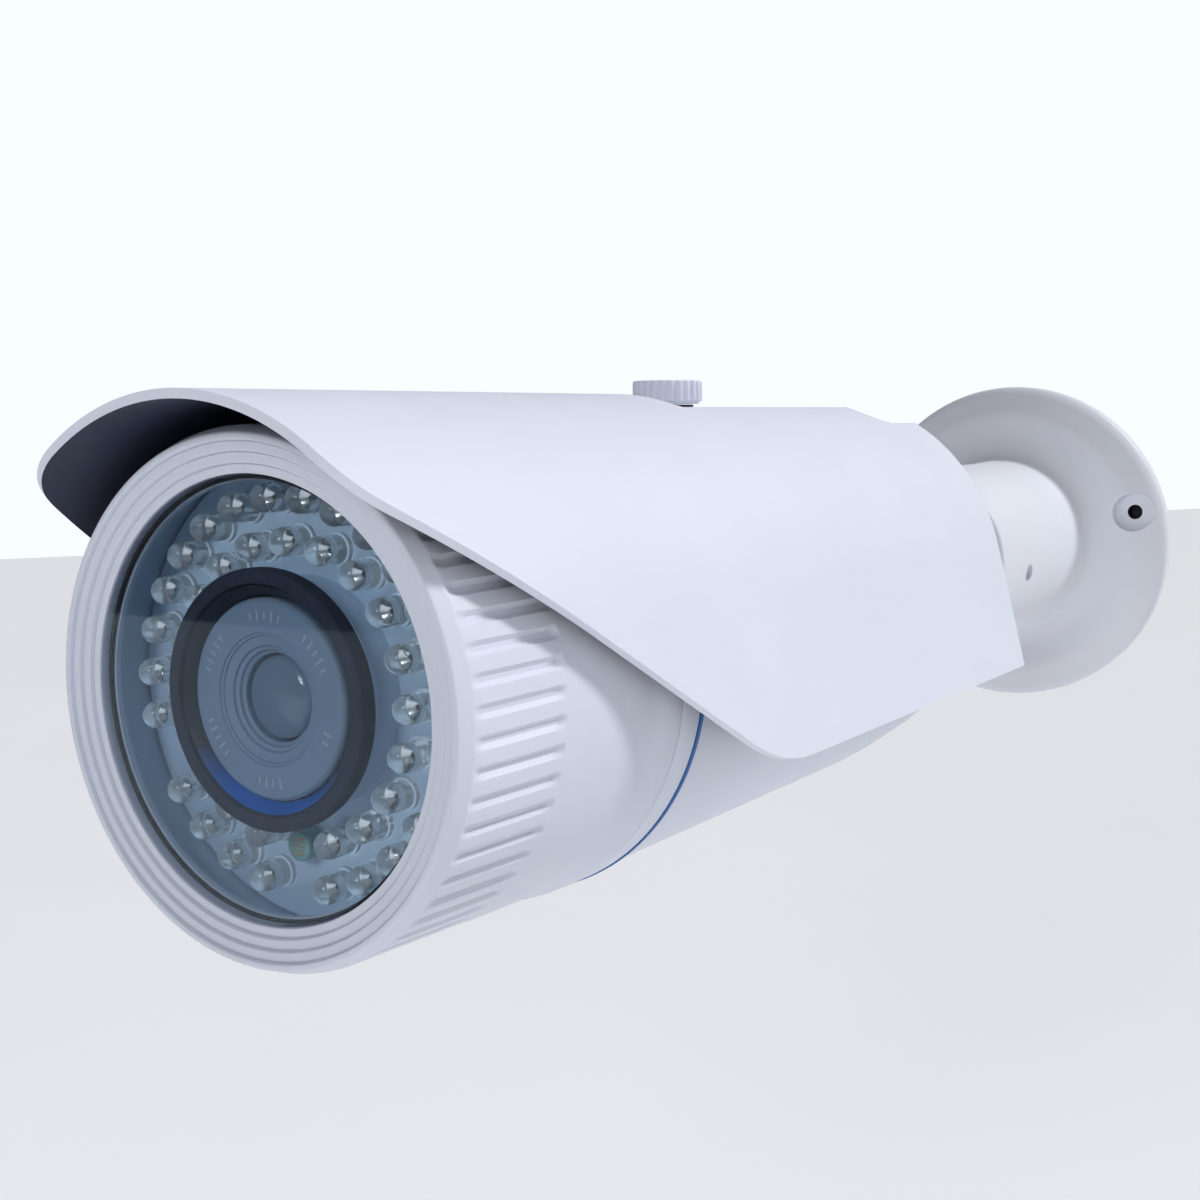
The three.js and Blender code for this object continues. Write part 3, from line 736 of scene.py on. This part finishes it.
def light_sensor():
    z = -INNER_RING_R - 0.4
    outline = [(0, 11.5), (2.3, 11.5), (2.6, 11.7), (2.7, 12.1), (2.7, 14.6), (0, 14.6)]
    cell = gathered("light_cell", [turned_at(outline, 0, z, 32)], CELL)
    shown(cell, "head", "sensor_cell", "light_sensor")
    turns = [block_at(0, z, 0, (0, -1.4 + k * 0.7), (3.0, 0.22), 11.42, 11.52) for k in range(5)]
    shown(gathered("light_cell_track", turns, CELL_TRACK), "head", "sensor_cell")


# ---- lens ---------------------------------------------------------------------------------
def lens():
    foam = lathe("foam_shroud", rounded([
        (19.4, 3.9, 0.4), (22, 3.9, 0.8), (22, 7.2, 1), (20, 9.8, 1), (20, LED_FACE, 0.02), (18, LED_FACE),
        (18, 9.6), (19.4, 9.6),
    ], 0.3), FOAM)
    repaint(foam, DARK_BOARD, lambda radius, station: radius > 19.6 and station > 7.4)
    shown(foam, "head", "foam", "lens_shroud")
    blue = lathe("blue_ring", rounded([(17.3, 6.6), (19.1, 4.6), (19.1, 9), (17.3, 9)], 0.2), BLUE_RING)
    shown(blue, "head", "blue_seal", "lens_color_ring")
    disc = lathe("lens_face", rounded([
        (7.5, 8.1), (8.1, 7.7), (8.2, 7.2), (8.9, 7.0), (9.0, 6.5), (10.6, 6.2), (10.7, 5.85), (11.1, 5.8),
        (11.2, 5.45), (16.4, 5.45, 0.1), (17, 6.0, 0.4), (17, 8.1), (12, 8.1), (12, 10.5), (7.5, 10.5),
    ], 0.2), LENS_GREY)
    shown(disc, "head", "lens_grey", "lens_trim_disc")
    printed_marks()
    glass = lathe("front_element", [(0, 10.3), (7.1, 10.3), (7.1, 9.2)] + [
        (7.1 * math.sin(k * math.pi / 24), 6.8 + 2.4 * (1 - math.cos(k * math.pi / 24)))
        for k in range(11, -1, -1)], LENS_GLASS, sides=96)
    shown(glass, "lens", "window", "lens_element")


def printed_marks():
    """Plain ticks round the lens face, in groups, where a maker would print words."""
    groups = ((90, 5), (38, 5), (338, 2), (270, 4), (212, 5), (150, 5))
    ticks = []
    for centre, count in groups:
        for k in range(count):
            angle = math.radians(centre + (k - (count - 1) / 2) * 6.5)
            length = 1.9 if k % 2 else 1.3
            x = 14 * math.cos(angle)
            z = 14 * math.sin(angle)
            ticks.append(block_at(x, z, angle, (0, 0), (length, 0.42), 5.4, 5.48))
    shown(gathered("lens_ticks", ticks, MARKS), "head", "lens_grey")


# ---- bracket ------------------------------------------------------------------------------
def grips(count, limit, depth, front, back):
    """A shape function that sinks evenly spaced finger grooves into a ring's outside."""
    def shape(radius, station, angle):
        if radius < limit or not front < station < back:
            return radius
        across = abs((angle * count / TAU) % 1 - 0.5) * 2
        groove = max(0.0, 1 - across / 0.45)
        ramp = min(station - front, back - station, 1.0)
        return radius - depth * math.sin(groove * math.pi / 2) * ramp
    return shape


def roll_lock_ring():
    stations = [249.6 - k * 0.85 for k in range(11)]
    profile = rounded([(22.4, 238.6), (26.5, 238.6, 0.6)], 0.3, closed=False)
    profile += [(26.5, s) for s in reversed(stations)]
    profile += rounded([
        (26.5, 250.6), (26.5, 251.6, 0.5), (25, 253, 0.5), (17.6, 253), (17.6, 249.9), (22.4, 249.9),
        (22.4, 239),
    ], 0.3, closed=False)
    ring_nut = lathe("roll_nut", profile, WHITE, sides=400, shape=grips(20, 25.8, 0.8, 240.4, 250.2))
    shown(ring_nut, "lock_ring", "white_shell", "roll_lock_ring")


EAR_R = 10.5


def ear(root, root_half, steps=24):
    """Outline in (station, z) of an ear: a round end about the tilt bolt, and a straight root."""
    side = 1 if root < TILT_AT else -1
    outline = [(root, -root_half)]
    for k in range(steps + 1):
        angle = -math.pi / 2 + math.pi * k / steps
        outline.append((TILT_AT + side * EAR_R * math.cos(angle), EAR_R * math.sin(angle)))
    outline.append((root, root_half))
    return outline


def bolt_hole():
    return rod("bolt hole", spot(-22, TILT_AT, 0), spot(22, TILT_AT, 0), 3.2)


def knuckle():
    fork = lathe("knuckle_casting", rounded([
        (8, 244.3), (21.8, 244.3), (21.8, 249.6, 0.2), (17.2, 249.6, 0), (17.2, 255.5, 1.2), (8, 255.5, 0.6),
    ], 0.4, steps=6), BRACKET, sides=144)
    for x in (-16.8, 11.2):
        combine(fork, slab_across("ear", ear(253.4, 11), x, x + 5.6, BRACKET, 0.7), "UNION")
    combine(fork, bolt_hole())
    even_shading(fork)
    shown(fork, "knuckle", "bracket", "knuckle_fork")


def tilt_fastener():
    bolt = rod("hex_bolt", spot(-19.5, TILT_AT, 0), spot(17.5, TILT_AT, 0), 2.9, STEEL, soften=0.3)
    head = rod("head", spot(17.1, TILT_AT, 0), spot(20.6, TILT_AT, 0), 5.2, STEEL, soften=0.5)
    combine(head, rod("socket", spot(18.6, TILT_AT, 0), spot(22, TILT_AT, 0), 2.3, sides=6))
    combine(bolt, head, "UNION")
    shown(bolt, "arm", "steel", "tilt_bolt")
    nut = rod("hex_nut", spot(-20.6, TILT_AT, 0), spot(-17.1, TILT_AT, 0), 5.4, STEEL, sides=6, soften=0.35)
    combine(nut, rod("hole", spot(-22, TILT_AT, 0), spot(-16, TILT_AT, 0), 3.2))
    shown(nut, "arm", "steel", "tilt_nut")


def arm():
    casting = lathe("arm_casting", rounded([
        (9, 280, 0.6), (19, 280, 1.5), (19, HUB_FRONT - 0.4, 0.5), (17.5, HUB_FRONT - 0.4, 0), (17.5, 371),
        (14, 371, 0), (14, 375.4), (9, 375.4),
    ], 0.4, steps=6), BRACKET, sides=144)
    for x in (-10.9, 5.3):
        combine(casting, slab_across("ear", ear(281.5, EAR_R), x, x + 5.6, BRACKET, 0.7), "UNION")
    combine(casting, bolt_hole())
    even_shading(casting)
    shown(casting, "arm", "bracket", "bracket_arm")
    keeper = ring("arm_keeper", 14.3, 21, 371.5, 374.8, STEEL)
    shown(keeper, "arm", "steel", "arm_retainer")


def across_hub(inner, outer):
    """The two ends of a bar on the set screw's line, at these distances from the pan axis."""
    turn = math.radians(SET_SCREW_ANGLE)
    return around(inner, SET_SCREW_AT, turn), around(outer, SET_SCREW_AT, turn)


def wall_flange():
    flange = lathe("flange_casting", rounded([
        (18.1, HUB_FRONT, 0.5), (29, HUB_FRONT, 1.6), (29, 352, 4), (29.6, 361, 4), (31.6, 366.8, 3),
        (36.5, FLANGE_FACE, 3), (45.4, FLANGE_FACE + 0.3, 2.5), (53.4, 374, 3), (55.3, 376, 1.4),
        (55.3, REACH, 0.5), (38, REACH), (38, 375.6), (30, 371.2), (18.1, 371.2),
    ], 0.4, steps=6), BRACKET, sides=240)
    for angle in SCREW_ANGLES:
        a = math.radians(angle)
        x = SCREW_CIRCLE_R * math.cos(a)
        z = SCREW_CIRCLE_R * math.sin(a)
        combine(flange, rod("seat", spot(x, 360, z), spot(x, 373.4, z), 6.5))
        # Each hole is cut in two, leaving a web 0.25 mm thick near the back face; the near-black web and
        # walls are painted shade in the hole.
        for front, back in ((360, REACH - 0.5), (REACH - 0.25, 385)):
            combine(flange, rod("hole", spot(x, front, z), spot(x, back, z), 2.5, HOLE_PAINTED_SHADE, sides=36))
    combine(flange, rod("screw hole", *across_hub(10, 40), 2.9, sides=36))
    even_shading(flange)
    shown(flange, "bracket", "bracket", "wall_flange")
    screw = rod("grub_screw", *across_hub(18.3, 25.2), 2.6, STEEL, soften=0.3)
    combine(screw, rod("socket", *across_hub(22.5, 28), 1.5, sides=6))
    shown(screw, "set_screw", "steel", "pan_set_screw")


# ---- stage --------------------------------------------------------------------------------
def camera():
    """Looks from the front and the camera's own right, and slightly down."""
    azimuth, elevation, roll = (math.radians(a) for a in (33.13, 7.0, 0.58))
    forward = Vector((-math.sin(azimuth) * math.cos(elevation), math.cos(azimuth) * math.cos(elevation),
                      -math.sin(elevation)))
    right = Vector((math.cos(azimuth), math.sin(azimuth), 0))
    down = forward.cross(right)
    tilted_right = right * math.cos(roll) + down * math.sin(roll)
    tilted_up = right * math.sin(roll) - down * math.cos(roll)
    data = bpy.data.cameras.new("camera")
    data.sensor_width = 36
    data.lens = 47.1
    data.shift_x = -0.002
    data.shift_y = 0.010
    data.clip_start = 0.01
    eye = bpy.data.objects.new("camera", data)
    bpy.context.scene.collection.objects.link(eye)
    turn = Matrix((tilted_right, tilted_up, -forward)).transposed().to_4x4()
    eye.matrix_world = Matrix.Translation(spot(185.8, -177.9, 45.4)) @ turn
    bpy.context.scene.camera = eye


def lamp(name, place, aim, size, power, colour=(1, 1, 1)):
    data = bpy.data.lights.new(name, "AREA")
    data.shape = "DISK"
    data.size = size
    data.energy = power
    data.color = colour
    thing = bpy.data.objects.new(name, data)
    bpy.context.scene.collection.objects.link(thing)
    thing.location = place
    thing.rotation_mode = "QUATERNION"
    thing.rotation_quaternion = (Vector(aim) - Vector(place)).to_track_quat("-Z", "Y")


def sun(name, source, strength, colour):
    """Broad, soft daylight from the direction of source."""
    data = bpy.data.lights.new(name, "SUN")
    data.energy = strength
    data.angle = math.radians(9)
    data.color = colour
    thing = bpy.data.objects.new(name, data)
    bpy.context.scene.collection.objects.link(thing)
    thing.rotation_mode = "QUATERNION"
    thing.rotation_quaternion = (-Vector(source)).to_track_quat("-Z", "Y")


FLOOR_Z = -0.3  # clears the camera head tilted right down, in metres


def studio():
    floor_mesh = bmesh.new()
    bmesh.ops.create_grid(floor_mesh, x_segments=2, y_segments=2, size=4)
    turn = Matrix.Rotation(math.radians(-33), 4, "Z")
    edge_ahead = 3.5
    shift = Matrix.Translation((0, 4 - edge_ahead, 0))
    under = Matrix.Translation((0, -0.2, FLOOR_Z))
    bmesh.ops.transform(floor_mesh, verts=floor_mesh.verts, matrix=under @ turn @ shift)
    paper = surface("white paper", (0.95, 0.95, 0.955), 0.9, grain=300, bump=0.02, vary=0.004, patch=2)
    finished("floor", floor_mesh, paper)
    sun("daylight", (0.53, 0.47, 0.705), 2.35, (0.96, 0.975, 1))
    lamp("front", (0.2, -1.35, 0.45), (0, -0.38, 0), 0.35, 3.1, (0.95, 0.97, 1))
    surround()
    bpy.context.scene.view_settings.view_transform = "Standard"


def surround():
    """A white backdrop that lights the part softly, more from above and the right."""
    world = bpy.data.worlds.new("studio")
    world.use_nodes = True
    tree = world.node_tree
    place = tree.nodes.new("ShaderNodeTexCoord")
    facing = tree.nodes.new("ShaderNodeVectorMath")
    facing.operation = "DOT_PRODUCT"
    facing.inputs[1].default_value = Vector((0.62, 0.55, 0.56)).normalized()
    tree.links.new(place.outputs["Generated"], facing.inputs[0])
    ramp = tree.nodes.new("ShaderNodeMapRange")
    ramp.interpolation_type = "SMOOTHSTEP"
    ramp.inputs["From Min"].default_value = -0.9
    ramp.inputs["From Max"].default_value = 0.5
    ramp.inputs["To Min"].default_value = 0.11
    ramp.inputs["To Max"].default_value = 0.33
    tree.links.new(facing.outputs["Value"], ramp.inputs["Value"])
    path = tree.nodes.new("ShaderNodeLightPath")
    seen = tree.nodes.new("ShaderNodeMix")
    tree.links.new(path.outputs["Is Camera Ray"], seen.inputs["Factor"])
    tree.links.new(ramp.outputs["Result"], seen.inputs["A"])
    seen.inputs["B"].default_value = 1.05
    sky = tree.nodes["Background"]
    sky.inputs["Color"].default_value = (0.90, 0.94, 1.0, 1)
    tree.links.new(seen.outputs["Result"], sky.inputs["Strength"])
    bpy.context.scene.world = world


finish_cad_nodes()
front_bezel()
window()
barrel_joint()
rear_housing()
tail()
sunshade()
thumb_screw()
led_field()
lens()
roll_lock_ring()
knuckle()
tilt_fastener()
arm()
wall_flange()
camera()
studio()
